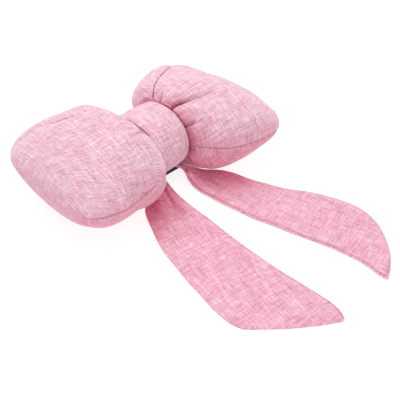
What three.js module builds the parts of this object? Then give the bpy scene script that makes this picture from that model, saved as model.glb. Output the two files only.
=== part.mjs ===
// Bow-shaped car neck pillow, in millimetres, lying on its back as on a table.
// +X runs from lobe to lobe, +Y to the top of the bow and +Z out of its face; the tails point to -Y.
// The pieces are placed round the middle of the knot, and the whole bow is then set on its bounding box.
import * as THREE from "three";

// Driving dimensions
const SEAM_HEIGHT = 53; // the middle of the knot over the table
const KNOT_LEFT = 26.5; // how far the band reaches to each side
const KNOT_RIGHT = 22;
// The drawn-in middle of the body at the band's two edges: half its height along Y, how far its middle is shifted
// to +Y and its rise over the seam plane.
const WAIST_LEFT = { half: 43.5, shift: -6.5, crown: 31.5 };
const WAIST_RIGHT = { half: 41, shift: -3, crown: 34 };
const WAIST_ROUND = 2.1; // how square its section is
const KNOT_GAP = 0.5; // between the band and the body under it
const SEAM_DEPTH_AT_KNOT = 4.5; // how deep the cloth is drawn in along the panels' seams
const SEAM_DEPTH = 1.4;
const SEWN_GAP = 0.6; // between a strap end and the lobe it is sewn to
const TAIL_EDGE = 2.4; // thickness of the doubled cloth at its seams
const TAIL_MIDDLE = 4;
const TAIL_SEAM_SHARE = 0.13; // share of its width over which a tail thickens from each seam
const PLEAT_WAVES = 2.5; // soft pleats across a tail's top
const STRAP_WIDTH = 20;
const STRAP_THICKNESS = 1.6;
const STRAP_CENTRE_Y = -17;
const STRAP_LEFT = 43; // how far the strap reaches to each side
const STRAP_RIGHT = 38.5;
const STRAP_SEWN = 8; // length of each end that lies flat on a lobe
const STRAP_SAG = 7.4; // height of the bridging stretch over the table
const STRAP_TWIST = 2.2; // how much higher the bridging stretch stands at its tail side
const STRAP_STEPS = 26;
const STRAP_ACROSS = 4;

const RING_FACE = 34; // points round the face panel, from seam to seam
const RING_BACK = 38; // points round the back panel
const RING_CROWDING = 0.4; // how much closer the points stand at the seams
const LOBE_STEPS = 2; // rings for each row of the lobe table
const BAND_STEPS = 72;
const TAIL_STEPS = 2; // stations for each row of a tail's table
const TAIL_ACROSS = 15;

const CLOTH = { color: 0xe9b2c4, roughness: 0.95, metalness: 0 };
const ELASTIC = { color: 0x2b2427, roughness: 0.8, metalness: 0 };

const rad = THREE.MathUtils.degToRad;
const lerp = THREE.MathUtils.lerp;
const smoothstep = THREE.MathUtils.smoothstep;

// The waist's section at a place along X, as a row of a lobe's table.
function waistRow(x) {
  const part = (x + KNOT_LEFT) / (KNOT_LEFT + KNOT_RIGHT);
  const [half, shift, crown] = ["half", "shift", "crown"].map((k) => lerp(WAIST_LEFT[k], WAIST_RIGHT[k], part));
  return { x: Math.abs(x), half, shift, crown, drop: crown, round: WAIST_ROUND };
}

// Each lobe, a row for each section out from the knot: half its height along Y, how far its middle is shifted
// to +Y, the rise of the face and the drop of the back from the seam plane, the two seams' angles and how square
// the section is. topSeam counts up from the +Y side over the face, lowSeam down from the -Y side to the back.
// The two differ, as stuffed by hand.
const LEFT_LOBE = [
  { ...waistRow(0), topSeam: 67, lowSeam: 2 },
  { ...waistRow(-KNOT_LEFT - 0.5), topSeam: 68, lowSeam: 2 },
  { x: 28.4, half: 52.5, shift: -1.5, crown: 34.5, drop: 34.5, topSeam: 70, lowSeam: 1, round: 2.2 },
  { x: 32.5, half: 63.5, shift: -2.5, crown: 39, drop: 39, topSeam: 73, lowSeam: 0, round: 2.15 },
  { x: 41, half: 74, shift: -2, crown: 45.5, drop: 46, topSeam: 76, lowSeam: 0, round: 2.1 },
  { x: 55, half: 79, shift: 0, crown: 58.5, drop: 56, topSeam: 76, lowSeam: 0, round: 2.05 },
  { x: 76, half: 80.5, shift: 2.5, crown: 58, drop: 56.5, topSeam: 76, lowSeam: 2, round: 2.05 },
  { x: 100.5, half: 87.5, shift: 5.5, crown: 52.5, drop: 54, topSeam: 67, lowSeam: 4, round: 2 },
  { x: 121.5, half: 90.5, shift: 6, crown: 42, drop: 43.5, topSeam: 49, lowSeam: -1, round: 1.95 },
  { x: 135, half: 84.5, shift: 6, crown: 32, drop: 34, topSeam: 31, lowSeam: -3, round: 1.9 },
  { x: 143.5, half: 74.5, shift: 5.5, crown: 22.5, drop: 25.5, topSeam: 18, lowSeam: -1, round: 1.95 },
  { x: 147.5, half: 64, shift: 5.5, crown: 13.5, drop: 16.5, topSeam: 12, lowSeam: 2, round: 2 },
  { x: 149.5, half: 53.5, shift: 5.5, crown: 5, drop: 5, topSeam: 6, lowSeam: 3, round: 2 },
];
const RIGHT_LOBE = [
  { ...waistRow(0), topSeam: 67, lowSeam: 2 },
  { ...waistRow(KNOT_RIGHT + 0.5), topSeam: 70, lowSeam: 1 },
  { x: 24, half: 52, shift: -0.5, crown: 36.5, drop: 36.5, topSeam: 71, lowSeam: -1, round: 2.2 },
  { x: 28, half: 64, shift: -1.5, crown: 42, drop: 42, topSeam: 71, lowSeam: -3, round: 2.15 },
  { x: 36, half: 78, shift: -2.5, crown: 49, drop: 49, topSeam: 69, lowSeam: -4, round: 2.1 },
  { x: 50, half: 86, shift: -2.5, crown: 54, drop: 54.5, topSeam: 66, lowSeam: -1, round: 2.05 },
  { x: 70, half: 91, shift: -0.5, crown: 58, drop: 57.5, topSeam: 64, lowSeam: 2, round: 2.05 },
  { x: 94, half: 97.5, shift: 1.5, crown: 52.5, drop: 54.5, topSeam: 58, lowSeam: 4, round: 2 },
  { x: 114.5, half: 100, shift: 2, crown: 38, drop: 41, topSeam: 46, lowSeam: 6, round: 1.95 },
  { x: 127.5, half: 92.5, shift: 2.5, crown: 31, drop: 33.5, topSeam: 30, lowSeam: 8, round: 1.9 },
  { x: 136, half: 82, shift: 2.5, crown: 26, drop: 29, topSeam: 18, lowSeam: 8, round: 1.95 },
  { x: 140, half: 70, shift: 3, crown: 18.5, drop: 21.5, topSeam: 12, lowSeam: 6, round: 2 },
  { x: 142, half: 58, shift: 3.5, crown: 10.5, drop: 10.5, topSeam: 6, lowSeam: 3, round: 2 },
];
// knot is how far the band covers the body on that side, endSlant how far the outer end leans out for each
// millimetre towards the tails.
const LOBES = [
  { side: -1, rows: LEFT_LOBE, knot: KNOT_LEFT, endSlant: 0.04 },
  { side: 1, rows: RIGHT_LOBE, knot: KNOT_RIGHT, endSlant: 0.09 },
];

// Gathers of the body beside the knot, in degrees round the waist from the +Y side over the face:
// where each starts at the band, where it ends, how far out it reaches, how deep and how wide it is.
const GATHERS = [
  { side: 1, from: 84, to: 86, reach: 16, depth: 2.6, width: 5 },
  { side: 1, from: 104, to: 124, reach: 62, depth: 3.6, width: 7 },
  { side: 1, from: 137, to: 143, reach: 16, depth: 2.4, width: 5 },
  { side: 1, from: 163, to: 165, reach: 10, depth: 1.6, width: 5 },
  { side: 1, from: 205, to: 208, reach: 12, depth: 1.8, width: 6 },
  { side: 1, from: 232, to: 238, reach: 28, depth: 3, width: 8 },
  { side: 1, from: 262, to: 266, reach: 16, depth: 2.2, width: 7 },
  { side: 1, from: 292, to: 286, reach: 24, depth: 2.6, width: 8 },
  { side: 1, from: 325, to: 332, reach: 30, depth: 2.4, width: 8 },
  { side: 1, from: 358, to: 352, reach: 20, depth: 2.2, width: 7 },
  { side: 1, from: 30, to: 26, reach: 26, depth: 2.6, width: 7 },
  { side: -1, from: 88, to: 92, reach: 14, depth: 2.2, width: 5 },
  { side: -1, from: 112, to: 118, reach: 34, depth: 2.6, width: 7 },
  { side: -1, from: 142, to: 146, reach: 15, depth: 2.2, width: 6 },
  { side: -1, from: 168, to: 170, reach: 12, depth: 1.6, width: 6 },
  { side: -1, from: 214, to: 220, reach: 24, depth: 2.6, width: 8 },
  { side: -1, from: 248, to: 252, reach: 16, depth: 2.2, width: 7 },
  { side: -1, from: 284, to: 278, reach: 22, depth: 2.6, width: 8 },
  { side: -1, from: 318, to: 326, reach: 28, depth: 2.4, width: 8 },
  { side: -1, from: 352, to: 350, reach: 18, depth: 2.2, width: 7 },
  { side: -1, from: 34, to: 28, reach: 30, depth: 2.8, width: 7 },
];

// The band's section across its width: place along X and height over the waist.
const BAND_SECTION = [
  { x: 0.4 - KNOT_LEFT, rise: 0 },
  { x: KNOT_RIGHT - 0.4, rise: 0 },
  { x: KNOT_RIGHT, rise: 1 },
  { x: KNOT_RIGHT - 0.8, rise: 2.4 },
  { x: KNOT_RIGHT - 4.5, rise: 3.3 },
  { x: 11, rise: 4 },
  { x: 3, rise: 4.3 },
  { x: -6, rise: 4.3 },
  { x: -14, rise: 4 },
  { x: 4.5 - KNOT_LEFT, rise: 3.3 },
  { x: 0.8 - KNOT_LEFT, rise: 2.4 },
  { x: -KNOT_LEFT, rise: 1 },
];

// Each tail, a row for each station from the knot to its end: the inner and the outer edge in plan, the height
// of their undersides, and half the height of the pleats there. X counts outwards from the middle on both sides.
const RIGHT_TAIL = [
  { inX: 13, inY: -24, inZ: 14, outX: 25, outY: -24, outZ: 11.2, pleat: 0.2 },
  { inX: 14, inY: -32, inZ: 17, outX: 26.5, outY: -33, outZ: 11.2, pleat: 0.4 },
  { inX: 15.5, inY: -42, inZ: 16.5, outX: 32, outY: -43, outZ: 9, pleat: 1 },
  { inX: 11.5, inY: -54, inZ: 9.5, outX: 45.5, outY: -51.5, outZ: 2.5, pleat: 1.4 },
  { inX: 11, inY: -67.5, inZ: 3.2, outX: 58.5, outY: -64.5, outZ: 1.5, pleat: 1.8 },
  { inX: 12.5, inY: -86, inZ: 0.8, outX: 68, outY: -81.5, outZ: 0.6, pleat: 1.4 },
  { inX: 16, inY: -110, inZ: 0, outX: 74, outY: -103.5, outZ: 0, pleat: 0.8 },
  { inX: 20.5, inY: -145.5, inZ: 0, outX: 88.5, outY: -138, outZ: 0, pleat: 0.3 },
  { inX: 29.5, inY: -185.5, inZ: 0, outX: 107.5, outY: -168.5, outZ: 0, pleat: 0 },
  { inX: 41, inY: -232.5, inZ: 0, outX: 119.5, outY: -200, outZ: 0, pleat: 0 },
  { inX: 48, inY: -272, inZ: 0, outX: 123, outY: -222, outZ: 0, pleat: 0 },
  { inX: 41.5, inY: -312.5, inZ: 0, outX: 120.5, outY: -242.5, outZ: 0, pleat: 0 },
];
const LEFT_TAIL = [
  { inX: 13, inY: -24, inZ: 14, outX: 25, outY: -24, outZ: 11.4, pleat: 0.2 },
  { inX: 13.5, inY: -32, inZ: 17, outX: 26.5, outY: -33, outZ: 11.4, pleat: 0.4 },
  { inX: 13.5, inY: -42, inZ: 16.5, outX: 32, outY: -43, outZ: 10, pleat: 1 },
  { inX: 14, inY: -54, inZ: 10, outX: 50, outY: -47.5, outZ: 3, pleat: 1.6 },
  { inX: 13.5, inY: -70, inZ: 4, outX: 63.5, outY: -61, outZ: 1.5, pleat: 1.8 },
  { inX: 13, inY: -90, inZ: 0.8, outX: 74, outY: -84, outZ: 0.6, pleat: 1.4 },
  { inX: 14.5, inY: -116, inZ: 0, outX: 86.5, outY: -112, outZ: 0, pleat: 0.8 },
  { inX: 18, inY: -155, inZ: 0, outX: 95, outY: -146, outZ: 0, pleat: 0.3 },
  { inX: 20.5, inY: -195, inZ: 0, outX: 101.5, outY: -178, outZ: 0, pleat: 0 },
  { inX: 20.5, inY: -238, inZ: 0, outX: 107, outY: -206, outZ: 0, pleat: 0 },
  { inX: 19, inY: -274, inZ: 0, outX: 109.5, outY: -226, outZ: 0, pleat: 0 },
  { inX: 21, inY: -317, inZ: 0, outX: 109.5, outY: -243.5, outZ: 0, pleat: 0 },
];
const TAILS = [
  { name: "tail_left", side: -1, rows: LEFT_TAIL, endBulge: 4, innerRound: 10, outerRound: 5 },
  { name: "tail_right", side: 1, rows: RIGHT_TAIL, endBulge: 10.3, innerRound: 2, outerRound: 4 },
];

// A power that keeps its sign, for sections between an ellipse and a rounded rectangle.
function signedPower(value, power) {
  return Math.sign(value) * Math.abs(value) ** power;
}

// A point of a rounded section in the YZ plane, at an angle from +Y over the face.
function sectionPoint(row, angle) {
  const height = Math.sin(angle) >= 0 ? row.crown : row.drop;
  return {
    y: row.half * signedPower(Math.cos(angle), 2 / row.round),
    z: height * signedPower(Math.sin(angle), 2 / row.round),
  };
}

// The faces between rings of equal length, whose points follow each other in one list.
function facesBetween(rings) {
  const count = rings[0].length;
  const faces = [];
  for (let i = 0; i + 1 < rings.length; i++) {
    for (let j = 0; j < count; j++) {
      const a = i * count + j;
      const b = i * count + ((j + 1) % count);
      faces.push(a, b, b + count, a, b + count, a + count);
    }
  }
  return faces;
}

// A closed mesh from flat rings, each end closed by a fan round its middle.
function filledMesh(rings) {
  const count = rings[0].length;
  const points = rings.flat();
  const faces = facesBetween(rings);
  const middle = (ring) => ring.reduce((sum, p) => sum.add(p), new THREE.Vector3()).divideScalar(count);
  const first = points.push(middle(rings[0])) - 1;
  const last = points.push(middle(rings.at(-1))) - 1;
  const lastRing = (rings.length - 1) * count;
  for (let j = 0; j < count; j++) {
    const next = (j + 1) % count;
    faces.push(first, next, j, last, lastRing + j, lastRing + next);
  }
  return closedGeometry(points, faces);
}

// A closed sheet from rings that run along the underside and back along the top, its ends closed by strips.
function sheetMesh(rings) {
  const count = rings[0].length;
  const faces = facesBetween(rings);
  const lastRing = (rings.length - 1) * count;
  for (let j = 0; j + 1 < count / 2; j++) {
    const [a, b, c, d] = [j, j + 1, count - 2 - j, count - 1 - j];
    faces.push(a, c, b, a, d, c);
    faces.push(lastRing + a, lastRing + b, lastRing + c, lastRing + a, lastRing + c, lastRing + d);
  }
  return closedGeometry(rings.flat(), faces);
}

// Turns the faces outwards if their volume comes out negative.
function closedGeometry(points, faces) {
  let volume = 0;
  for (let i = 0; i < faces.length; i += 3) {
    const [a, b, c] = [points[faces[i]], points[faces[i + 1]], points[faces[i + 2]]];
    volume += a.dot(new THREE.Vector3().crossVectors(b, c));
  }
  const geometry = new THREE.BufferGeometry().setFromPoints(points);
  geometry.setIndex(volume > 0 ? faces : faces.toReversed());
  geometry.computeVertexNormals();
  return geometry;
}

// The sections of one lobe from the knot's middle outwards, read off smooth curves through the table.
function lobeSections({ side, rows, knot, endSlant }) {
  const form = new THREE.CatmullRomCurve3(
    rows.map((r) => new THREE.Vector3(r.x, r.half, r.crown)),
    false,
    "centripetal",
  );
  const details = rows.map((r) => new THREE.Vector4(r.drop / r.crown, r.topSeam, r.lowSeam, r.round));
  const gaps = rows.length - 1;
  const sections = [];
  for (let k = 0; k <= gaps * LOBE_STEPS; k++) {
    const place = k / LOBE_STEPS;
    const { x, y: half, z: crown } = form.getPoint(place / gaps);
    const row = Math.min(Math.floor(place), gaps - 1);
    const detail = details[row].clone().lerp(details[row + 1], place - row);
    sections.push({
      x: side * x,
      out: Math.max(0, x - knot),
      half,
      crown,
      drop: crown * detail.x,
      shift: lerp(rows[row].shift, rows[row + 1].shift, place - row),
      slant: side * endSlant,
      topSeam: rad(detail.y),
      lowSeam: rad(180 + detail.z),
      round: detail.w,
    });
  }
  return sections;
}

// How far the cloth is drawn in by the gathers at one angle of a section.
function gatherDepth(side, section, angle) {
  let depth = 0;
  for (const g of GATHERS) {
    if (g.side !== side || section.out > g.reach) continue;
    const along = section.out / g.reach;
    const turn = rad(lerp(g.from, g.to, along)) - angle;
    const away = Math.abs(Math.atan2(Math.sin(turn), Math.cos(turn))) * section.half;
    const width = g.width * (1 + 0.6 * along);
    depth += g.depth * (1 - along) ** 0.7 * Math.exp(-((away / width) ** 2));
  }
  return depth * smoothstep(section.out, 0, 3);
}

// One ring of the body. Its points are even round each panel but closer at the seams, which lie on two of them.
function bodyRing(side, section) {
  const crowd = (u) => u - (RING_CROWDING * Math.sin(2 * Math.PI * u)) / (2 * Math.PI);
  const ring = [];
  for (let i = 0; i < RING_FACE + RING_BACK; i++) {
    const onFace = i < RING_FACE;
    const part = onFace ? i / RING_FACE : (i - RING_FACE) / RING_BACK;
    const start = onFace ? section.topSeam : section.lowSeam;
    const end = onFace ? section.lowSeam : section.topSeam + 2 * Math.PI;
    const angle = lerp(start, end, crowd(part));
    const { y, z } = sectionPoint(section, angle);
    const outward = new THREE.Vector2(y / section.half ** 2, z / section.crown ** 2).normalize();
    const seamDepth = lerp(SEAM_DEPTH_AT_KNOT, SEAM_DEPTH, smoothstep(section.out, 0, 60));
    const seam = part === 0 ? seamDepth * smoothstep(section.out, 0.5, 5) : 0;
    const inwards = Math.min(gatherDepth(side, section, angle) + seam, 0.4 * section.crown);
    const high = SEAM_HEIGHT + z - outward.y * inwards;
    const along = y - outward.x * inwards + section.shift;
    const slant = -section.slant * y * smoothstep(section.out, 30, 110);
    ring.push(new THREE.Vector3(section.x + slant, along, Math.max(0, high)));
  }
  return ring;
}

function pillowBody() {
  const [left, right] = LOBES.map((lobe) => lobeSections(lobe).map((section) => bodyRing(lobe.side, section)));
  return filledMesh([...left.reverse(), ...right.slice(1)]);
}

// The band round the waist: its section carried once round the rounded waist.
function knotBand() {
  const points = [];
  const faces = [];
  const count = BAND_SECTION.length;
  for (let i = 0; i < BAND_STEPS; i++) {
    const angle = (2 * Math.PI * i) / BAND_STEPS;
    for (const p of BAND_SECTION) {
      const { half, shift, crown, round } = waistRow(p.x);
      const [tall, deep] = [half, crown].map((size) => size + KNOT_GAP + p.rise);
      const { y, z } = sectionPoint({ half: tall, crown: deep, drop: deep, round }, angle);
      points.push(new THREE.Vector3(p.x, y + shift, SEAM_HEIGHT + z));
    }
    for (let j = 0; j < count; j++) {
      const a = i * count + j;
      const b = i * count + ((j + 1) % count);
      const [c, d] = [a, b].map((k) => (k + count) % (BAND_STEPS * count));
      faces.push(a, b, d, a, d, c);
    }
  }
  return closedGeometry(points, faces);
}

// A sheet between two edge curves, with rounded corners and a bulging slanted end, as one closed solid.
function tail({ side, rows, endBulge, innerRound, outerRound }) {
  const edge = (end) =>
    new THREE.CatmullRomCurve3(
      rows.map((r) => new THREE.Vector3(side * r[end + "X"], r[end + "Y"], r[end + "Z"])),
      false,
      "centripetal",
    );
  const [inner, outer] = [edge("in"), edge("out")];
  const pleats = rows.map((r) => r.pleat);
  const steps = (rows.length - 1) * TAIL_STEPS;
  const length = inner.getLength();
  const rings = [];
  for (let i = 0; i <= steps; i++) {
    const s = i / steps;
    const place = Math.min(s * (rows.length - 1), rows.length - 1.0001);
    const row = Math.floor(place);
    const pleat = lerp(pleats[row], pleats[row + 1], place - row);
    const [a, b] = [inner.getPoint(s), outer.getPoint(s)];
    const width = a.distanceTo(b);
    const endNormal = new THREE.Vector3(side * (b.y - a.y), -side * (b.x - a.x), 0).normalize();
    const [insetIn, insetOut] = [innerRound, outerRound].map((radius) => {
      const toEnd = Math.max(0, radius - (1 - s) * length);
      return (radius - Math.sqrt(radius ** 2 - toEnd ** 2)) / width;
    });
    const top = [];
    const under = [];
    for (let j = 0; j <= TAIL_ACROSS; j++) {
      const across = j / TAIL_ACROSS;
      const p = a.clone().lerp(b, lerp(insetIn, 1 - insetOut, across));
      const bulge = endBulge * 4 * across * (1 - across) * smoothstep(s, 0.6, 1);
      p.addScaledVector(endNormal, bulge);
      p.z = Math.max(0, p.z + pleat * (1 - Math.cos(2 * Math.PI * PLEAT_WAVES * across)));
      under.push(p);
      const fromSeam = smoothstep(Math.min(across, 1 - across), 0, TAIL_SEAM_SHARE);
      top.push(p.clone().setZ(p.z + lerp(TAIL_EDGE, TAIL_MIDDLE, fromSeam)));
    }
    rings.push([...under, ...top.reverse()]);
  }
  return sheetMesh(rings);
}

// The height of a lobe's underside at a place beside the knot, from its sections.
function undersideAt(sections, x, y) {
  const k = sections.findIndex((section) => Math.abs(section.x) >= Math.abs(x));
  const [near, far] = [sections[k - 1], sections[k]];
  const part = (x - near.x) / (far.x - near.x);
  const heights = [near, far].map(
    (row) => SEAM_HEIGHT - row.drop * (1 - Math.abs((y - row.shift) / row.half) ** row.round) ** (1 / row.round),
  );
  return lerp(heights[0], heights[1], part);
}

// The elastic strap across the back: flat on the lobes at its ends, bridging under the knot.
function headrestStrap() {
  const [left, right] = LOBES.map(lobeSections);
  const rings = [];
  for (let i = 0; i <= STRAP_STEPS; i++) {
    const x = lerp(-STRAP_LEFT, STRAP_RIGHT, i / STRAP_STEPS);
    const sewnFrom = (x < 0 ? STRAP_LEFT : STRAP_RIGHT) - STRAP_SEWN;
    const bridging = smoothstep(sewnFrom - Math.abs(x), 0, STRAP_SEWN);
    const under = [];
    for (let j = 0; j <= STRAP_ACROSS; j++) {
      const across = j / STRAP_ACROSS;
      const y = STRAP_CENTRE_Y + STRAP_WIDTH * (across - 0.5);
      const reach = Math.max(Math.abs(x), sewnFrom);
      const lobe = x < 0 ? left : right;
      const sewn = undersideAt(lobe, Math.sign(x || 1) * reach, y) - SEWN_GAP - STRAP_THICKNESS;
      const hung = STRAP_SAG + STRAP_TWIST * (0.5 - across);
      under.push(new THREE.Vector3(x, y, lerp(sewn, Math.min(sewn, hung), bridging)));
    }
    const top = under.map((p) => p.clone().setZ(p.z + STRAP_THICKNESS)).reverse();
    rings.push([...under, ...top]);
  }
  return sheetMesh(rings);
}

function named(name, geometry, look) {
  const mesh = new THREE.Mesh(geometry, new THREE.MeshStandardMaterial(look));
  mesh.name = name;
  return mesh;
}

const bow = new THREE.Group();
bow.add(named("pillow_body", pillowBody(), CLOTH));
bow.add(named("knot_band", knotBand(), CLOTH));
for (const sash of TAILS) {
  bow.add(named(sash.name, tail(sash), CLOTH));
}
bow.add(named("headrest_strap", headrestStrap(), ELASTIC));

// The origin is the middle of the bounding box on the table.
const box = new THREE.Box3().setFromObject(bow, true);
const middle = box.getCenter(new THREE.Vector3());
bow.position.set(-middle.x, -middle.y, -box.min.z);

const pillow = new THREE.Group();
pillow.add(bow);
export default pillow;
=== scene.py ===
import math

import bmesh
import bpy
import numpy as np
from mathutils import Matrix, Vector, noise
from mathutils.bvhtree import BVHTree
from mathutils.kdtree import KDTree


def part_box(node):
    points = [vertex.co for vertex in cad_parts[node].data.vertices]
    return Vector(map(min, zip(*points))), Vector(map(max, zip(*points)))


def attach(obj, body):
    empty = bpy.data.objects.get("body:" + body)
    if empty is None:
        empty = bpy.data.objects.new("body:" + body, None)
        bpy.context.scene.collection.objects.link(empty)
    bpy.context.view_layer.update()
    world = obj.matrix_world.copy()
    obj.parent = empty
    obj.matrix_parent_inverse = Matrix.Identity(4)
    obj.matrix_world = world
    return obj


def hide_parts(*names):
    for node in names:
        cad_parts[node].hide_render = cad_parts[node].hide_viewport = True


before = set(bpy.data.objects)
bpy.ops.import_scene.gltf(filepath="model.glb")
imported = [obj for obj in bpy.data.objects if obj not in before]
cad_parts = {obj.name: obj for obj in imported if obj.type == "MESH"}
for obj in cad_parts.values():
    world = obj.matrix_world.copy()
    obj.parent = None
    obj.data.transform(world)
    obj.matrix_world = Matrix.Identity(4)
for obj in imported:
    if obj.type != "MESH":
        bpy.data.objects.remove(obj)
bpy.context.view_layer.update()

# Camera
# The bow lies on its back and is seen from above its tails, with the left lobe nearest, through a lens with a
# field of 37 degrees.
KNOT = Vector((0.0022, 0.1046, 0))  # the point of the table under the middle of the knot
CAMERA_PLACE = KNOT + Vector((-0.3880, -0.4706, 0.4472))
CAMERA_AIM = KNOT + Vector((-0.0172, -0.1029, 0.0243))
LENS_MM = 54
SENSOR_MM = 36
camera = bpy.data.objects.new("camera", bpy.data.cameras.new("camera"))
bpy.context.collection.objects.link(camera)
camera.location = CAMERA_PLACE
camera.rotation_mode = "QUATERNION"
camera.rotation_quaternion = (CAMERA_AIM - CAMERA_PLACE).to_track_quat("-Z", "Y")
camera.data.lens = LENS_MM
camera.data.sensor_width = SENSOR_MM
bpy.context.scene.camera = camera


# Floor and light
# A white translucent table lit from below, under an even white studio with a large softbox over the far side
# and a small one in front, as for a catalogue picture: bright from above, with light coming up off the table.
TABLE_SIZE = 6
TABLE_DROP = 0.0002  # keeps the table clear of the cloth that lies on it
TABLE_GLOW = 0.82
STUDIO_BRIGHTNESS = 0.78


def linear(hex_colour):
    """An sRGB hex colour as linear RGBA."""
    parts = [int(hex_colour[i:i + 2], 16) / 255 for i in (1, 3, 5)]
    return [c / 12.92 if c <= 0.04045 else ((c + 0.055) / 1.055) ** 2.4 for c in parts] + [1]


def add(material, kind, links=None, **settings):
    """Adds a node with its settings, its sockets filled with values or with other nodes' outputs."""
    made = material.node_tree.nodes.new(kind)
    for name, value in settings.items():
        setattr(made, name, value)
    for name, value in (links or {}).items():
        if isinstance(value, bpy.types.NodeSocket):
            material.node_tree.links.new(value, made.inputs[name])
        else:
            made.inputs[name].default_value = value
    return made


def new_material(name):
    """A material with no nodes in it yet."""
    material = bpy.data.materials.new(name)
    material.use_nodes = True
    material.node_tree.nodes.clear()
    return material


def softbox(name, place, aim, size, power):
    """A round area light that shines at a point."""
    light = bpy.data.objects.new(name, bpy.data.lights.new(name, "AREA"))
    bpy.context.collection.objects.link(light)
    light.data.shape = "DISK"
    light.data.size = size
    light.data.energy = power
    light.location = place
    light.rotation_mode = "QUATERNION"
    light.rotation_quaternion = (Vector(aim) - Vector(place)).to_track_quat("-Z", "Y")


bpy.ops.object.select_all(action="DESELECT")
bpy.ops.mesh.primitive_plane_add(size=TABLE_SIZE, location=(0, 0, -TABLE_DROP))
floor = bpy.context.object
floor.name = "floor"
acrylic = new_material("white_opal_acrylic")
acrylic_look = add(acrylic, "ShaderNodeBsdfPrincipled",
                   {"Base Color": linear("#8C8C8C"), "Roughness": 0.9, "Specular IOR Level": 0.1,
                    "Emission Color": linear("#FFFFFF"), "Emission Strength": TABLE_GLOW})
add(acrylic, "ShaderNodeOutputMaterial", {"Surface": acrylic_look.outputs["BSDF"]})
floor.data.materials.append(acrylic)

studio = bpy.data.worlds.new("studio")
bpy.context.scene.world = studio
studio.use_nodes = True
backdrop = studio.node_tree.nodes["Background"]
backdrop.inputs["Color"].default_value = (1, 1, 1, 1)
backdrop.inputs["Strength"].default_value = STUDIO_BRIGHTNESS
softbox("softbox_over", place=(0.10, 0.50, 1.4), aim=(0, 0, 0.03), size=1.3, power=13)
softbox("softbox_front", place=(-0.40, -0.70, 0.70), aim=KNOT, size=0.8, power=2.0)
bpy.context.scene.view_settings.view_transform = "Standard"
bpy.context.scene.view_settings.look = "None"


# Pillow body
# One stuffed case of the cloth: a face and a back panel, sewn together along the top and along the tail side,
# folded round at the outer ends, filled with fibre and drawn in at the middle. The seams pucker the cloth a
# little, and the drawn-in cloth stands in pleats beside the knot.
FACE_STEPS = 34  # columns of the case's mesh over the face panel; the back panel has the rest
CASE_RINGS = 81
PANEL_APART = 1.0  # how far apart the two panels lie on the cloth, in metres
POLE_LINKS = 20  # only the point at each end of the solid has more edges than this


def rings_of(node):
    """The rings of points that a lofted solid is built of, from its left end to its right end.

    Each runs over the face towards the tails and round the back."""
    shell = bmesh.new()
    shell.from_mesh(node.data)
    bmesh.ops.remove_doubles(shell, verts=shell.verts[:], dist=1e-6)
    pole = min((v for v in shell.verts if len(v.link_edges) > POLE_LINKS), key=lambda v: v.co.x)
    seen, rings = {pole}, []
    ahead = {e.other_vert(pole) for e in pole.link_edges}
    first = max(ahead, key=lambda v: v.co.z)
    while len(ahead) > 1:
        beside = {v: [o for e in v.link_edges if (o := e.other_vert(v)) in ahead] for v in ahead}
        ring = [first, min(beside[first], key=lambda v: v.co.y)]
        while len(ring) < len(ahead):
            ring.append(next(o for o in beside[ring[-1]] if o is not ring[-2]))
        rings.append([list(v.co) for v in ring])
        seen |= ahead
        beyond = [o for e in first.link_edges if (o := e.other_vert(first)) not in seen]
        ahead = {o for v in ring for e in v.link_edges if (o := e.other_vert(v)) not in seen}
        first = max(beyond, key=lambda v: v.co.y)
    shell.free()
    return np.array(rings)


def smooth_rows(rows, places):
    """Rows read off a smooth curve through the given ones, at places counted in rows."""
    k = np.clip(places.astype(int), 0, len(rows) - 2)
    t = (places - k).reshape((-1,) + (1,) * (rows.ndim - 1))
    before, after = rows[np.maximum(k - 1, 0)], rows[np.minimum(k + 2, len(rows) - 1)]
    start, end = rows[k], rows[k + 1]
    return start + 0.5 * t * (end - before + t * (2 * before - 5 * start + 4 * end - after
                                                  + t * (3 * (start - end) + after - before)))


def weave_places(panel):
    """Each point's place on a cloth panel in metres: along its middle line, and across from that line."""
    middle = panel.shape[1] // 2
    steps = np.linalg.norm(np.diff(panel[:, middle], axis=0), axis=1)
    along = np.concatenate([[0], np.cumsum(steps)])
    across = np.concatenate([np.zeros((len(panel), 1)),
                             np.cumsum(np.linalg.norm(np.diff(panel, axis=1), axis=2), axis=1)], axis=1)
    across -= across[:, middle:middle + 1]
    return np.stack([np.broadcast_to(along[:, None], across.shape), across], axis=2)


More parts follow.
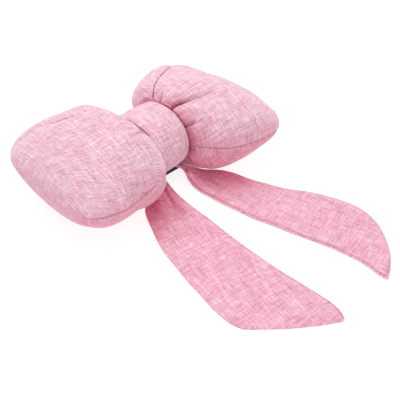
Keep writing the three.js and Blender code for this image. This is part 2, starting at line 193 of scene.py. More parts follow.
def filled_case(name, rings):
    """A closed mesh through the rings, its seams marked and the panels' places on the cloth in its UV map."""
    count = rings.shape[1]
    face = weave_places(rings[:, :FACE_STEPS + 1])
    back = weave_places(np.concatenate([rings[:, FACE_STEPS:], rings[:, :1]], axis=1)) + [0, PANEL_APART]
    case = bmesh.new()
    weave = case.loops.layers.uv.new("weave")
    grid = [[case.verts.new(p) for p in ring] for ring in rings]
    poles = [case.verts.new(rings[i].mean(axis=0)) for i in (0, -1)]

    def cloth_face(corners):
        made = case.faces.new([v for v, _ in corners])
        for loop, (_, place) in zip(made.loops, corners):
            loop[weave].uv = place

    for j in range(count):
        panel, k = (face, j) if j < FACE_STEPS else (back, j - FACE_STEPS)
        n = (j + 1) % count
        for i in range(len(rings) - 1):
            cloth_face([(grid[i][j], panel[i, k]), (grid[i][n], panel[i, k + 1]),
                        (grid[i + 1][n], panel[i + 1, k + 1]), (grid[i + 1][j], panel[i + 1, k])])
        for pole, i, way in ((poles[0], 0, 1), (poles[1], -1, -1)):
            end = [(pole, panel[i].mean(axis=0)), (grid[i][n], panel[i, k + 1]), (grid[i][j], panel[i, k])]
            cloth_face(end[::way])
    for j in (0, FACE_STEPS):
        for i in range(len(rings) - 1):
            case.edges.get((grid[i][j], grid[i + 1][j])).seam = True
    bmesh.ops.recalc_face_normals(case, faces=case.faces[:])
    piece = bpy.data.objects.new(name, bpy.data.meshes.new(name))
    case.to_mesh(piece.data)
    case.free()
    bpy.context.collection.objects.link(piece)
    return piece


def points_of(mesh):
    """A mesh's points as rows of coordinates."""
    flat = np.empty(len(mesh.vertices) * 3)
    mesh.vertices.foreach_get("co", flat)
    return flat.reshape(-1, 3)


def normals_of(mesh):
    """The ways in which a mesh's points face, as rows."""
    flat = np.empty(len(mesh.vertices) * 3)
    mesh.vertices.foreach_get("normal", flat)
    return flat.reshape(-1, 3)


def set_points(mesh, points):
    mesh.vertices.foreach_set("co", points.astype(np.float32).ravel())
    mesh.update()


def apply_modifier(piece, kind, **settings):
    """Changes a piece's mesh by a modifier with these settings."""
    made = piece.modifiers.new(kind.lower(), kind)
    for name, value in settings.items():
        setattr(made, name, value)
    with bpy.context.temp_override(object=piece, active_object=piece, selected_objects=[piece]):
        bpy.ops.object.modifier_apply(modifier=made.name)


def smoothstep(x, low, high):
    """0 up to low, 1 from high on, and a smooth rise between them."""
    t = np.clip((x - low) / (high - low), 0, 1)
    return t * t * (3 - 2 * t)


def even_out(mesh, values, rounds):
    """Values at a mesh's points, each averaged with its neighbours a number of times."""
    ends = np.empty(len(mesh.edges) * 2, int)
    mesh.edges.foreach_get("vertices", ends)
    a, b = ends.reshape(-1, 2).T
    count = len(mesh.vertices)
    links = np.bincount(ends, minlength=count)
    for _ in range(rounds):
        values = np.stack([(np.bincount(a, v[b], count) + np.bincount(b, v[a], count)) / links
                           for v in values.T], axis=1)
    return values


def seam_points(mesh):
    """The indices of a mesh's points that lie on its marked seams."""
    return sorted({v for e in mesh.edges if e.use_seam for v in e.vertices})


def distance_to(points, lines):
    """Each point's distance to the nearest of a set of other points."""
    tree = KDTree(len(lines))
    for i, p in enumerate(lines):
        tree.insert(p, i)
    tree.balance()
    return np.array([tree.find(p)[2] for p in points])


# The filling presses the cloth out. It is slack where it is gathered and tight along the seams.
GATHER_SLACK = 0.14  # spare length of the cloth beside the knot
GATHER_START = (0.020, 0.028)  # distances from the knot's middle over which that slack comes in
GATHER_REACH = (0.030, 0.085)  # and over which it runs out
WAIST_HELD = (0.021, 0.026)  # the knot holds the cloth as far out as this
TAUT_SHARE = 0.86  # how much of the slack the stuffed lobes take up
SEAM_HOLD = (0.002, 0.007)
FILL_FRAMES = 20
BROAD_ROUNDS = 60  # rounds of averaging that leave only the broad swelling


def filled_ripple(piece):
    """How the filling moves each point, less the broad swelling: dents, puckers and small folds."""
    before = points_of(piece.data)
    out = np.abs(before[:, 0] - KNOT.x)
    hold = 1 - smoothstep(out, *WAIST_HELD)
    off_seam = distance_to(before, before[seam_points(piece.data)])
    tight = TAUT_SHARE * (1 - smoothstep(out, *GATHER_START) * (1 - smoothstep(out, *GATHER_REACH)))
    tight += (1 - tight) * (1 - smoothstep(off_seam, *SEAM_HOLD))
    held = piece.vertex_groups.new(name="held")
    taut = piece.vertex_groups.new(name="taut")
    for i in range(len(before)):
        if hold[i] > 0:
            held.add([i], float(hold[i]), "REPLACE")
        taut.add([i], float(tight[i]), "REPLACE")
    filling = piece.modifiers.new("filling", "CLOTH")
    cloth_rules = filling.settings
    cloth_rules.quality = 6
    cloth_rules.mass = 0.3
    cloth_rules.tension_stiffness = 15
    cloth_rules.compression_stiffness = 15
    cloth_rules.shear_stiffness = 5
    cloth_rules.bending_stiffness = 0.2
    cloth_rules.use_pressure = True
    cloth_rules.uniform_pressure_force = 4
    cloth_rules.effector_weights.gravity = 0
    cloth_rules.vertex_group_mass = "held"
    cloth_rules.vertex_group_shrink = "taut"
    cloth_rules.shrink_min = -GATHER_SLACK
    filling.point_cache.frame_start = 1
    filling.point_cache.frame_end = FILL_FRAMES
    for step in range(1, FILL_FRAMES + 1):
        bpy.context.scene.frame_set(step)
    filled = piece.evaluated_get(bpy.context.evaluated_depsgraph_get())
    move = points_of(filled.to_mesh()) - before
    filled.to_mesh_clear()
    piece.modifiers.remove(filling)
    piece.vertex_groups.clear()
    bpy.context.scene.frame_set(1)
    return move - even_out(piece.data, move, BROAD_ROUNDS)


RIPPLE_CAP = 0.0016
RIPPLE_SHARE = 0.35  # the simulated cloth is thinner than the real one and ripples more
SEAM_FILL = 0.75  # how much of the solid's wide dip along each seam the filling presses out
TOP_SEAM_AT_KNOT = KNOT + Vector((0, 0.0123, 0.0831))

case_rings = rings_of(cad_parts["pillow_body"])
at_waist = case_rings[len(case_rings) // 2]
shift = np.linalg.norm(at_waist - np.array(TOP_SEAM_AT_KNOT), axis=1).argmin()
case_rings = np.roll(case_rings, -shift, axis=1)  # the top seam becomes column 0
ring_steps = np.linalg.norm(np.diff(case_rings, axis=0), axis=2).mean(axis=1)
run = np.concatenate([[0], np.cumsum(ring_steps)])
places = np.interp(np.linspace(0, run[-1], CASE_RINGS), run, np.arange(len(run)))
case_rings = smooth_rows(case_rings, places)
for j in (0, FACE_STEPS):
    across_seam = (case_rings[:, j - 1] + case_rings[:, j + 1]) / 2
    case_rings[:, j] += SEAM_FILL * (across_seam - case_rings[:, j])

body = filled_case("pillow_case", case_rings)
apply_modifier(body, "SUBSURF", levels=1, render_levels=1)
ripple = filled_ripple(body)
ripple_size = np.maximum(np.linalg.norm(ripple, axis=1), 1e-9)
ripple *= np.minimum(RIPPLE_SHARE, RIPPLE_CAP / ripple_size)[:, None]
set_points(body.data, points_of(body.data) + ripple)
apply_modifier(body, "SUBSURF", levels=1, render_levels=1)


def refine_near(piece, lines, reach):
    """Halves the edges of a mesh that lie within reach of some points."""
    mesh = bmesh.new()
    mesh.from_mesh(piece.data)
    near = distance_to([list(v.co) for v in mesh.verts], lines) < reach
    mesh.verts.ensure_lookup_table()
    edges = [e for e in mesh.edges if near[e.verts[0].index] and near[e.verts[1].index]]
    bmesh.ops.subdivide_edges(mesh, edges=edges, cuts=1, use_grid_fill=True, smooth=0.0)
    mesh.to_mesh(piece.data)
    mesh.free()


# Folds of the cloth beside the knot, as they show in the bow's face, in millimetres: each line's points from
# the knot's middle on the table, its depth at the knot, how wide it slopes down on the side of the bow's top,
# how wide its edge is on the tails' side, and how far the cloth rolls up there and leans over the fold.
# Each fold's depth also sets how much painted shade its colour takes.
FOLDS = [
    {"line": [(22.5, 5, 84), (25.5, 6, 89), (29, 7, 94), (34, 8, 99)],
     "depth": 3.0, "slope": 1.6, "edge": 0.8, "roll": 0.5, "lean": 0.3},
    {"line": [(21.5, -11, 82), (24, -15, 86), (28, -18.5, 91), (33, -24.5, 95), (41, -31, 98.5),
              (52, -36.5, 101), (64, -40.5, 103), (78, -42, 104)],
     "depth": 7.5, "slope": 3.4, "edge": 1.1, "roll": 1.8, "lean": 1.6},
    {"line": [(21.5, -38, 72), (24, -42.5, 76), (27, -47.5, 80), (31, -50, 87)],
     "depth": 5.0, "slope": 2.2, "edge": 1.0, "roll": 1.0, "lean": 0.8},
    {"line": [(21.5, -45, 48), (24, -49, 47), (27, -56, 46)],
     "depth": 3.0, "slope": 1.6, "edge": 0.9, "roll": 0.4, "lean": 0.2},
    {"line": [(22, -41, 34), (31, -47, 26), (43, -54, 15)],
     "depth": 3.5, "slope": 2.2, "edge": 1.2, "roll": 0.8, "lean": 0.4},
    {"line": [(-28, -25, 85), (-38, -32.5, 91), (-48, -41, 98.5), (-57, -44, 102), (-64, -44, 103)],
     "depth": 2.6, "slope": 1.8, "edge": 0.8, "roll": 0.6, "lean": 0.3},
    {"line": [(-26.5, -20, 86), (-30, -22, 89), (-34, -25, 92)],
     "depth": 3.2, "slope": 1.2, "edge": 0.8, "roll": 0.2, "lean": 0.0},
    {"line": [(-26.5, 4, 86), (-30, 3, 90), (-35, 1, 95)],
     "depth": 3.0, "slope": 1.4, "edge": 0.8, "roll": 0.3, "lean": 0.2},
    {"line": [(-72, -78, 50), (-77, -79, 53), (-82, -79, 58)],
     "depth": 2.0, "slope": 1.4, "edge": 0.8, "roll": 0.4, "lean": 0.2},
]
ROLL_WAY = np.array([-0.64, -0.77, 0])  # the way in which folds roll over
ROLL_CREST = 2.4  # how many edge widths from the fold's line the roll is highest
ROLL_WIDTH = 1.7
FOLD_REACH = 5  # how many slope widths from its line a fold still presses
FOLD_FADE = 0.8  # how evenly a fold runs out along its line
SAME_FACE = 0.3  # points that face further from the line than this are on the far side of a sheet
TOP_SEAM_GROOVE = 0.0030
LOW_SEAM_GROOVE = 0.0014
SEAM_WIDTH = 0.0008
SEAM_LINE = 0.0011  # half width of the dark line where the two panels meet: a dark seam with painted shade in it
# Distances from the knot's middle over which each seam comes up beside the knot and passes into the end fold.
SEAM_SHOWS = {"top left": (0.056, 0.074, 0.092, 0.108), "top right": (0.021, 0.026, 0.110, 0.140),
              "low left": (0.046, 0.062, 0.130, 0.149), "low right": (0.021, 0.026, 0.138, 0.150)}
TOP_SIDE = (-0.020, 0)  # how far up from the knot's middle the top seam's side of the bow starts
LOW_SEAM_TONE = 0.35  # how much of the top seam's darkness the low seam has
# Distances from the knot's middle over which the cloth comes out from under the band on each side, where the
# gap's shade is painted into the colour, and how far up the bow that painted shade starts on the left.
BAND_GAP = {"right": (0.0225, 0.0252), "left": (0.0268, 0.0285)}
LEFT_GAP_START = (-0.002, 0.006)
# how dark the painted shade in the gap beside the band is
BAND_GAP_PAINTED_SHADE = 0.9
STITCH_PUCKER = 0.0003
PUCKER_LENGTH = 0.0062
PUCKER_PLACE, PUCKER_WIDTH = 0.003, 0.002  # distance of the puckers from the seam
SEAM_REFINE = (0.0045, 0.0018)  # distances within which the mesh is halved, and halved again
FOLD_REFINE = (0.010, 0.004)


def line_points(line, step=1.0):
    """A smooth line's points in metres, about one for each millimetre."""
    rows = np.array(line, float)
    length = np.linalg.norm(np.diff(rows, axis=0), axis=1).sum()
    places = np.linspace(0, len(rows) - 1, int(length / step) + 2)
    return smooth_rows(rows, places) / 1000 + np.array(KNOT)


def press_fold(points, normals, fold):
    """Presses one fold into a surface's points, deepest at its start; returns how far in each lies, which
    also sets the painted shade in the fold.
    """
    line = line_points(fold["line"])
    tree = KDTree(len(points))
    for i, p in enumerate(points):
        tree.insert(p, i)
    tree.balance()
    nearest = [tree.find(p)[1] for p in line]
    line = np.stack([np.convolve(np.pad(c, 3, "edge"), np.ones(7) / 7, "valid")
                     for c in points[nearest].T], axis=1)
    run_of = np.linspace(0, 1, len(line))
    tangent = np.gradient(line, axis=0)
    tangent /= np.linalg.norm(tangent, axis=1)[:, None]
    slope, edge = fold["slope"] / 1000, fold["edge"] / 1000
    reach = FOLD_REACH * max(slope, 1.6 * edge)
    low, high = line.min(axis=0) - reach, line.max(axis=0) + reach
    near = np.flatnonzero(((points > low) & (points < high)).all(axis=1))
    away = points[near][:, None] - line[None]
    gap = np.linalg.norm(away, axis=2)
    k = gap.argmin(axis=1)
    d, away = gap[np.arange(len(near)), k], away[np.arange(len(near)), k]
    same_face = np.einsum("ij,ij->i", normals[near], normals[nearest][k]) > SAME_FACE
    near, k, d, away = [values[(d < reach) & same_face] for values in (near, k, d, away)]
    t = run_of[k]
    across = np.cross(tangent[k], normals[near])
    across *= np.sign(across @ ROLL_WAY)[:, None]
    side = np.sign(np.einsum("ij,ij->i", across, away))
    fade = (1 - t) ** FOLD_FADE
    sunk = fade * np.exp(-d / np.where(side > 0, edge, slope))
    rolled = fade * np.exp(-(((side * d - ROLL_CREST * edge) / (ROLL_WIDTH * edge)) ** 2))
    points[near] += normals[near] * (fold["roll"] / 1000 * rolled - fold["depth"] / 1000 * sunk)[:, None]
    points[near] -= across * (fold["lean"] / 1000 * rolled)[:, None]
    depths = np.zeros(len(points))
    depths[near] = sunk
    return depths


def keep_on_points(piece, name, amount):
    """Stores a number for each point, which the cloth's colour reads."""
    piece.data.attributes.new(name, "FLOAT", "POINT").data.foreach_set("value", amount.astype(np.float32))


# Painted bounce shade: where cloth lies close to cloth or to the table, as in the drawn-in folds and under
# the lobes, light reaches it off the pink cloth beside it, so its colour is painted a deeper pink by how much
# of its view that cloth or table takes up.
SHELTER_REACH = 0.050
TABLE_REACH = 0.110
SHELTER_START = 0.0035  # rays start this far off the cloth, clear of its own folds
SHELTER_LIFT = 0.010  # keeps the two sides of a sheet apart where neighbours are averaged
SHELTER_MOST = 0.6
SHELTER_RAYS = 14
SHELTER_SAMPLES = 16  # every so many points are measured, and each takes the mean of the nearest ones
SHELTER_NEIGHBOURS = 10
solids = bmesh.new()
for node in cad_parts.values():
    solids.from_mesh(node.data)
cloth_near = BVHTree.FromBMesh(solids)
solids.free()


def painted_bounce_shade(points, normals, table_reach=0.0):
    """How much of what each point faces is other cloth, or the table, close by, from 0 to 1."""
    turns = np.arange(SHELTER_RAYS) * math.pi * (3 - math.sqrt(5))
    rise = np.sqrt((np.arange(SHELTER_RAYS) + 0.5) / SHELTER_RAYS)
    flat = np.sqrt(1 - rise ** 2)
    measured, shares = points[::SHELTER_SAMPLES], []
    for p, n in zip(measured, normals[::SHELTER_SAMPLES]):
        normal = Vector(n)
        side = normal.orthogonal().normalized()
        other = normal.cross(side)
        start = Vector(p) + normal * SHELTER_START
        hits = 0
        for turn, up, out in zip(turns, rise, flat):
            way = normal * up + (side * math.cos(turn) + other * math.sin(turn)) * out
            at_table = way.z < 0 < start.z < -way.z * table_reach
            hits += at_table or cloth_near.ray_cast(start, way, SHELTER_REACH)[0] is not None
        shares.append(hits / SHELTER_RAYS)
    shares = np.minimum(shares, SHELTER_MOST)
    tree = KDTree(len(measured))
    raised = points + normals * SHELTER_LIFT
    for i, p in enumerate(raised[::SHELTER_SAMPLES]):
        tree.insert(p, i)
    tree.balance()
    nearest = [[i for _, i, _ in tree.find_n(p, SHELTER_NEIGHBOURS)] for p in raised]
    return np.array([shares[i].mean() for i in nearest])


fold_lines = np.concatenate([line_points(f["line"]) for f in FOLDS])
for reach in SEAM_REFINE:
    refine_near(body, points_of(body.data)[seam_points(body.data)], reach)
for reach in FOLD_REFINE:
    refine_near(body, fold_lines, reach)

points = points_of(body.data)
normals = normals_of(body.data)
off_seam = distance_to(points, points[seam_points(body.data)])
from_knot = points - np.array(KNOT)
out = np.abs(from_knot[:, 0])
on_top = smoothstep(from_knot[:, 1], *TOP_SIDE)
seam_shows = np.zeros(len(points))
for seam, (start, full, fades, end) in SEAM_SHOWS.items():
    here = (on_top if "top" in seam else 1 - on_top) * ((from_knot[:, 0] > 0) == ("right" in seam))
    seam_shows += here * smoothstep(out, start, full) * (1 - smoothstep(out, fades, end))
pucker = STITCH_PUCKER * np.sin(points[:, 0] * 2 * math.pi / PUCKER_LENGTH)
pucker *= np.exp(-((off_seam - PUCKER_PLACE) / PUCKER_WIDTH) ** 2)
seam_depth = seam_shows * (LOW_SEAM_GROOVE + on_top * (TOP_SEAM_GROOVE - LOW_SEAM_GROOVE))
points += normals * (pucker - seam_depth * np.exp(-off_seam / SEAM_WIDTH))[:, None]
# Dark seam lines, with painted shade in the seams, in the gap beside the band and in the folds, stored for
# the cloth's colour.
seam_tone = LOW_SEAM_TONE + (1 - LOW_SEAM_TONE) * on_top
seam_and_painted_shade = seam_shows * seam_tone * np.exp(-((off_seam / SEAM_LINE) ** 2))
at_right_edge = 1 - smoothstep(from_knot[:, 0], *BAND_GAP["right"])
at_left_edge = 1 - smoothstep(-from_knot[:, 0], *BAND_GAP["left"])
at_left_edge *= smoothstep(from_knot[:, 1], *LEFT_GAP_START)
at_edge = np.where(from_knot[:, 0] > 0, at_right_edge, at_left_edge)
seam_and_painted_shade = np.maximum(seam_and_painted_shade, BAND_GAP_PAINTED_SHADE * at_edge)
for fold in FOLDS:
    seam_and_painted_shade = np.maximum(seam_and_painted_shade, press_fold(points, normals, fold))
points[:, 2] = np.maximum(points[:, 2], 0)
set_points(body.data, points)
keep_on_points(body, "seam_and_painted_shade", seam_and_painted_shade)
# How much painted bounce shade each point of the body takes, stored for the cloth's colour.
keep_on_points(body, "painted_bounce_shade", painted_bounce_shade(points, normals_of(body.data), TABLE_REACH))
body.data.shade_smooth()


# The cloth of the whole bow is a plain weave of polyester spun to look like linen: melange yarns, each thick
# and thin and dyed unevenly, so that paler and deeper threads cross as fine streaks. It is matt, and its fuzz
# catches light at a slant. Its yarns are about 0.6 mm apart and are drawn nearly twice as coarse, to show.
YARN_PITCH = 0.0011
STREAK_LENGTH = 0.018
YARN_WANDER = 0.0007
WANDER_SIZE = 0.012
YARN_STEP = 3.71  # how far apart two yarns beside each other are read from the streaks, so that they differ
DEEP_YARN = linear("#C48699")
PINK_YARN = linear("#DDA2B6")
PALE_YARN = linear("#E3B9C7")
WHITE_YARN = linear("#EBDBE1")
GREY_YARN = linear("#D5C1C8")
GREY_PATCH = 0.014  # size of the places where greyer fibre shows
GREY_FROM, GREY_FULL = 0.42, 0.68  # heights of the noise at which it starts and is fullest
GREY_SHARE = 0.25
UNDER_SHARE = 0.3  # how much of the colour at a crossing is the yarn's that lies under
YARN_GAP_SHADE = 0.19  # how much darker the cloth is between its yarns
SLUB_SHADE = 0.22  # how much darker the thin places of a yarn are than its thick ones
WEFT_START = 51.3  # sets the weft's streaks apart from the warp's
CROSSING_SHADE = 0.12  # how far one crossing of two yarns is darker or paler than the next
# The colour of the dark seam line and of the shade painted into seams, folds and the gap beside the band.
SEAM_AND_SHADE_COLOUR = linear("#86234A")
SEAM_AND_SHADE_DARKNESS = 0.9  # how far the cloth in a seam or fold takes that colour: dark seam and painted shade
PAINTED_BOUNCE_TINT = linear("#FF84AC")  # painted bounce shade: the colour that light off pink cloth makes of white, multiplied into the cloth's colour

cloth = new_material("melange_linen_weave")
place = add(cloth, "ShaderNodeUVMap", uv_map="weave").outputs["UV"]
wander = add(cloth, "ShaderNodeTexNoise", {"Vector": place, "Scale": 1 / WANDER_SIZE, "Detail": 1.0},
             noise_dimensions="2D").outputs["Color"]
wander = add(cloth, "ShaderNodeVectorMath", {0: wander, 1: (0.5, 0.5, 0.5)}, operation="SUBTRACT").outputs[0]
wander = add(cloth, "ShaderNodeVectorMath", {0: wander, "Scale": 2 * YARN_WANDER},
             operation="SCALE").outputs[0]
place = add(cloth, "ShaderNodeVectorMath", {0: place, 1: wander}, operation="ADD").outputs[0]
split = add(cloth, "ShaderNodeSeparateXYZ", {"Vector": place})
along, across = split.outputs["X"], split.outputs["Y"]


def yarns(run, beside, seed):
    """The yarns of one direction: how pale each is along its run, which yarn it is, and its round height."""
    count = add(cloth, "ShaderNodeMath", {0: beside, 1: 1 / YARN_PITCH}, operation="MULTIPLY").outputs[0]
    which = add(cloth, "ShaderNodeMath", {0: count}, operation="FLOOR").outputs[0]
    stretch = add(cloth, "ShaderNodeMath", {0: run, 1: 1 / STREAK_LENGTH}, operation="MULTIPLY").outputs[0]
    apart = add(cloth, "ShaderNodeMath", {0: which, 1: YARN_STEP, 2: seed},
                operation="MULTIPLY_ADD").outputs[0]
    streak = add(cloth, "ShaderNodeCombineXYZ", {"X": stretch, "Y": apart}).outputs[0]
    shade = add(cloth, "ShaderNodeTexNoise",
                {"Vector": streak, "Scale": 1.0, "Detail": 1.5, "Roughness": 0.6},
                noise_dimensions="2D").outputs["Fac"]
    inside = add(cloth, "ShaderNodeMath", {0: count, 1: which}, operation="SUBTRACT").outputs[0]
    bow = add(cloth, "ShaderNodeMath", {0: inside, 1: math.pi}, operation="MULTIPLY").outputs[0]
    height = add(cloth, "ShaderNodeMath", {0: bow}, operation="SINE").outputs[0]
    return shade, which, height


warp, warp_number, warp_height = yarns(along, across, 0.0)
weft, weft_number, weft_height = yarns(across, along, WEFT_START)
crossing = add(cloth, "ShaderNodeMath", {0: warp_number, 1: weft_number}, operation="ADD").outputs[0]
weft_over = add(cloth, "ShaderNodeMath", {0: crossing, 1: 2.0}, operation="FLOORED_MODULO").outputs[0]
weft_part = add(cloth, "ShaderNodeMath", {0: weft_over, 1: 1 - 2 * UNDER_SHARE, 2: UNDER_SHARE},
                operation="MULTIPLY_ADD").outputs[0]
yarn = add(cloth, "ShaderNodeMix", {"Factor": weft_part, "A": warp, "B": weft}, data_type="FLOAT").outputs[0]
height = add(cloth, "ShaderNodeMix", {"Factor": weft_over, "A": warp_height, "B": weft_height},
             data_type="FLOAT").outputs[0]
tone = add(cloth, "ShaderNodeValToRGB", {"Fac": yarn})
ramp = tone.color_ramp
ramp.elements[0].position, ramp.elements[0].color = 0.24, DEEP_YARN
ramp.elements[1].position, ramp.elements[1].color = 0.76, WHITE_YARN
for position, colour in ((0.42, PINK_YARN), (0.57, PALE_YARN)):
    ramp.elements.new(position).color = colour
grey = add(cloth, "ShaderNodeTexNoise",
           {"Vector": place, "Scale": 1 / GREY_PATCH, "Detail": 3.0, "Roughness": 0.7},
           noise_dimensions="2D").outputs["Fac"]
grey = add(cloth, "ShaderNodeMapRange",
           {"Value": grey, "From Min": GREY_FROM, "From Max": GREY_FULL, "To Max": GREY_SHARE})
tone = add(cloth, "ShaderNodeMix", {"Factor": grey.outputs[0], "A": tone.outputs["Color"], "B": GREY_YARN},
           data_type="RGBA").outputs[2]
gap = add(cloth, "ShaderNodeMath", {0: height, 1: YARN_GAP_SHADE, 2: 1 - YARN_GAP_SHADE},
          operation="MULTIPLY_ADD")
tone = add(cloth, "ShaderNodeVectorMath", {0: tone, "Scale": gap.outputs[0]}, operation="SCALE").outputs[0]
slub = add(cloth, "ShaderNodeMath", {0: warp, 1: weft}, operation="ADD").outputs[0]
slub = add(cloth, "ShaderNodeMath", {0: slub, 1: SLUB_SHADE, 2: 1 - SLUB_SHADE},
           operation="MULTIPLY_ADD").outputs[0]
tone = add(cloth, "ShaderNodeVectorMath", {0: tone, "Scale": slub}, operation="SCALE").outputs[0]
cell = add(cloth, "ShaderNodeCombineXYZ", {"X": warp_number, "Y": weft_number}).outputs[0]
fleck = add(cloth, "ShaderNodeTexWhiteNoise", {"Vector": cell}, noise_dimensions="2D").outputs["Value"]
fleck = add(cloth, "ShaderNodeMath", {0: fleck, 1: 2 * CROSSING_SHADE, 2: 1 - CROSSING_SHADE},
            operation="MULTIPLY_ADD").outputs[0]
tone = add(cloth, "ShaderNodeVectorMath", {0: tone, "Scale": fleck}, operation="SCALE").outputs[0]
# Painted bounce shade: the colour is multiplied towards deep pink where cloth or table lies close in front of
# the cloth.
bounce_shade_amount = add(cloth, "ShaderNodeAttribute", attribute_name="painted_bounce_shade").outputs["Fac"]
tone = add(cloth, "ShaderNodeMix", {"Factor": bounce_shade_amount, "A": tone, "B": PAINTED_BOUNCE_TINT},
           data_type="RGBA", blend_type="MULTIPLY").outputs[2]
# Painted shade in seams, folds and the band gap, with the dark seam line itself: the colour is mixed towards
# dark crimson.
drawn = add(cloth, "ShaderNodeAttribute", attribute_name="seam_and_painted_shade").outputs["Fac"]
drawn = add(cloth, "ShaderNodeMath", {0: drawn, 1: SEAM_AND_SHADE_DARKNESS}, operation="MULTIPLY").outputs[0]
tone = add(cloth, "ShaderNodeMix", {"Factor": drawn, "A": tone, "B": SEAM_AND_SHADE_COLOUR}, data_type="RGBA").outputs[2]
bump = add(cloth, "ShaderNodeBump",
           {"Height": height, "Strength": 0.25, "Distance": 0.0004}).outputs["Normal"]
cloth_look = add(cloth, "ShaderNodeBsdfPrincipled",
                 {"Base Color": tone, "Roughness": 0.88, "IOR": 1.5, "Specular IOR Level": 0.25,
                  "Sheen Weight": 0.5, "Sheen Roughness": 0.5, "Normal": bump})
cloth_look.inputs["Sheen Tint"].default_value = linear("#FFF4F7")
add(cloth, "ShaderNodeOutputMaterial", {"Surface": cloth_look.outputs["BSDF"]})


def dress(piece, material, slot, *nodes):
    """Gives a finished piece its material, and its place in the frame."""
    piece.data.materials.clear()
    piece.data.materials.append(material)
    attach(piece, "root")
    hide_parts(*nodes)


dress(body, cloth, "pink_linen", "pillow_body")


# Knot band
# A strip of the same cloth, doubled and turned at its long edges, that goes once round the drawn-in middle
# with its ends sewn behind. It is pulled tight, so it lies smooth and crowned, with rolled edges.
def welded_copy(node, name):
    """A frame node's surface as a new object, its doubled points merged and its triangles paired up."""
    shell = bmesh.new()
    shell.from_mesh(node.data)
    bmesh.ops.remove_doubles(shell, verts=shell.verts[:], dist=1e-6)
    bmesh.ops.join_triangles(shell, faces=shell.faces[:], angle_face_threshold=math.pi,
                             angle_shape_threshold=math.pi)
    piece = bpy.data.objects.new(name, bpy.data.meshes.new(name))
    shell.to_mesh(piece.data)
    shell.free()
    bpy.context.collection.objects.link(piece)
    return piece


def lay_weave(piece, places):
    """Writes the weave's UV map from each point's place on the cloth."""
    weave = piece.data.uv_layers.new(name="weave")
    corners = np.empty(len(piece.data.loops), int)
    piece.data.loops.foreach_get("vertex_index", corners)
    weave.data.foreach_set("uv", places[corners].astype(np.float32).ravel())


def drape_noise(points, size, seed):
    """Smooth unevenness from -1 to 1, of a given size in metres."""
    return np.array([noise.noise(Vector(p) / size + Vector((seed, 0, 0))) for p in points])


BAND_BOUNCE_SHADE = 0.15  # the band stands out between the lobes, so it takes only this share of the painted bounce shade
BAND_SWELL = 0.0005
BAND_SWELL_SIZE = 0.022
BAND_CUT = 2.0  # the band's place on the cloth, in metres
band = welded_copy(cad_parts["knot_band"], "knot_wrap")
apply_modifier(band, "SUBSURF", levels=2, render_levels=2)
points = points_of(band.data)
points += normals_of(band.data) * (drape_noise(points, BAND_SWELL_SIZE, 3.0) * BAND_SWELL)[:, None]
set_points(band.data, points)
low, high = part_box("knot_band")
middle = np.array((low + high) / 2)
around = np.arctan2(points[:, 2] - middle[2], points[:, 1] - middle[1])
radius = ((high.z - low.z) + (high.y - low.y)) / 4
lay_weave(band, np.stack([around * radius + BAND_CUT, points[:, 0]], axis=1))
keep_on_points(band, "painted_bounce_shade", BAND_BOUNCE_SHADE * painted_bounce_shade(points, normals_of(band.data)))
band.data.shade_smooth()
dress(band, cloth, "pink_linen", "knot_band")


# Tails
# Two sashes of the same cloth, each sewn from two layers, turned, pressed and cut on a slant at the end. They
# are pleated where they are sewn in behind the knot, and fan out flat on the table. The seam allowance inside
# makes their edges round, with a crease beside it.
# For each: how many degrees its length turns from straight down, where on the cloth it was cut, in metres, on
# which side of it the other tail lies, how dark the painted shade in the crease beside its edge is, and its
# pleats.
TAIL_LOOKS = {
    "tail_left": {"turn": -10.7, "grain": 4.0, "inner": 1, "crease": 0.2, "folds": [
        {"line": [(-26, -48, 19), (-29, -58, 15), (-32, -70, 12), (-34.5, -82, 10), (-36.5, -94, 9),
                  (-39, -112, 8)],
         "depth": 3.8, "slope": 7.0, "edge": 1.8, "roll": 2.8, "lean": 0.4},
    ]},
    "tail_right": {"turn": 14.3, "grain": 6.0, "inner": -1, "crease": 0.6, "folds": [
        {"line": [(21, -46, 22), (24, -51, 17), (32, -60, 14), (34, -74, 11), (32, -86, 10), (29, -96, 9)],
         "depth": 3.2, "slope": 5.0, "edge": 2.0, "roll": 2.0, "lean": 0.4},
    ]},
}
EDGE_ROLL = 0.0028  # from a tail's edge to the crease beside its seam allowance
EDGE_CREASE = 0.0005
CREASE_WIDTH = 0.0006
OUTER_CREASE = 0.15  # how much of the crease shows along the outer edge
EDGE_TILT = 0.35  # where a sheet faces up or down less than this, it is its narrow edge
CREASE_TILT = (0.3, 0.8)  # how far up the cloth faces where the crease comes in
INNER_HALF = (0, 0.010)  # distances past the middle line over which the inner crease comes in
PLEAT_PAINTED_SHADE = 0.30  # how dark the painted shade in a pleat is, pressed shallower than the folds beside the knot
TAIL_BOUNCE_SHADE = 0.19  # an even share of painted bounce shade laid over the whole of each tail, which deepens its colour
EDGE_REFINE = (0.0065, 0.0045)
FOLD_REFINE_ONCE = 0.008
DRAPE_SIZE = 0.028
DRAPE_LIFT = 0.0009


def edge_points(points, normals):
    """The points of a flat sheet's narrow edges."""
    return points[np.abs(normals[:, 2]) < EDGE_TILT]


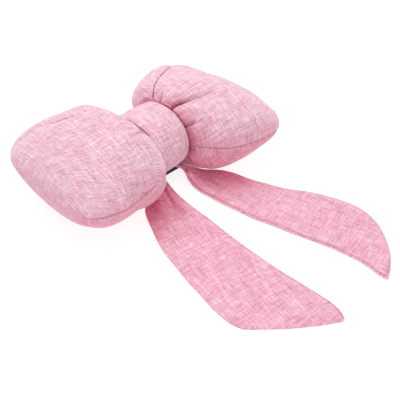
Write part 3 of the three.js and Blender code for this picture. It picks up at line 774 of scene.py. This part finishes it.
for name, looks in TAIL_LOOKS.items():
    sash = welded_copy(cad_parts[name], "sash_" + name[5:])
    apply_modifier(sash, "SUBSURF", levels=2, render_levels=2)
    for reach in EDGE_REFINE:
        refine_near(sash, edge_points(points_of(sash.data), normals_of(sash.data)), reach)
    refine_near(sash, np.concatenate([line_points(f["line"]) for f in looks["folds"]]), FOLD_REFINE_ONCE)
    points, normals = points_of(sash.data), normals_of(sash.data)
    from_edge = distance_to(points, edge_points(points, normals))
    turn = math.radians(looks["turn"])
    length_way = np.array([math.sin(turn), -math.cos(turn)])
    width_way = np.array([math.cos(turn), math.sin(turn)])
    run, beside = points[:, :2] @ length_way, points[:, :2] @ width_way
    off_middle = looks["inner"] * (beside - np.polyval(np.polyfit(run, beside, 3), run))
    crease = np.exp(-(((from_edge - EDGE_ROLL) / CREASE_WIDTH) ** 2))
    crease *= smoothstep(normals[:, 2], *CREASE_TILT)
    crease *= OUTER_CREASE + (1 - OUTER_CREASE) * smoothstep(off_middle, *INNER_HALF)
    drape = drape_noise(points * [1, 1, 0], DRAPE_SIZE, looks["grain"]) * DRAPE_LIFT
    points -= normals * (EDGE_CREASE * crease)[:, None]
    points[:, 2] += drape + DRAPE_LIFT / 2
    # The crease beside the edge and the pleats get painted shade, mixed into the colour.
    seam_and_painted_shade = looks["crease"] * crease
    for fold in looks["folds"]:
        seam_and_painted_shade = np.maximum(seam_and_painted_shade, PLEAT_PAINTED_SHADE * press_fold(points, normals, fold))
    points[:, 2] = np.maximum(points[:, 2], 0)
    set_points(sash.data, points)
    keep_on_points(sash, "seam_and_painted_shade", seam_and_painted_shade)
    keep_on_points(sash, "painted_bounce_shade", TAIL_BOUNCE_SHADE + painted_bounce_shade(points, normals_of(sash.data)))
    lay_weave(sash, np.stack([run + looks["grain"], beside], axis=1))
    sash.data.shade_smooth()
    dress(sash, cloth, "pink_linen", name)


# Headrest strap
# A flat black elastic webbing across the back, sewn to both lobes, that holds the bow to a headrest. Fine
# ribs run along it, and it sags a little between its ends.
RIB_PITCH = 0.0015791
BAND_SCALE = math.pi / 10  # a band of the wave texture is this long at scale 1
elastic = new_material("woven_elastic")
grain = add(elastic, "ShaderNodeUVMap", uv_map="weave").outputs["UV"]
ribs = add(elastic, "ShaderNodeTexWave",
           {"Vector": grain, "Scale": BAND_SCALE / RIB_PITCH, "Distortion": 0.6, "Detail": 1.0,
            "Detail Scale": 3.0}, bands_direction="Y").outputs["Fac"]
elastic_tone = add(elastic, "ShaderNodeMix",
                   {"Factor": ribs, "A": linear("#1E191B"), "B": linear("#4A4145")}, data_type="RGBA")
rib_bump = add(elastic, "ShaderNodeBump", {"Height": ribs, "Strength": 0.5, "Distance": 0.0004})
elastic_look = add(elastic, "ShaderNodeBsdfPrincipled",
                   {"Base Color": elastic_tone.outputs[2], "Roughness": 0.7, "IOR": 1.5, "Sheen Weight": 0.2,
                    "Normal": rib_bump.outputs["Normal"]})
add(elastic, "ShaderNodeOutputMaterial", {"Surface": elastic_look.outputs["BSDF"]})

strap = welded_copy(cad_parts["headrest_strap"], "elastic_strap")
apply_modifier(strap, "SUBSURF", levels=1, render_levels=1)
points = points_of(strap.data)
lay_weave(strap, points[:, :2])
strap.data.shade_smooth()
dress(strap, elastic, "black_elastic", "headrest_strap")
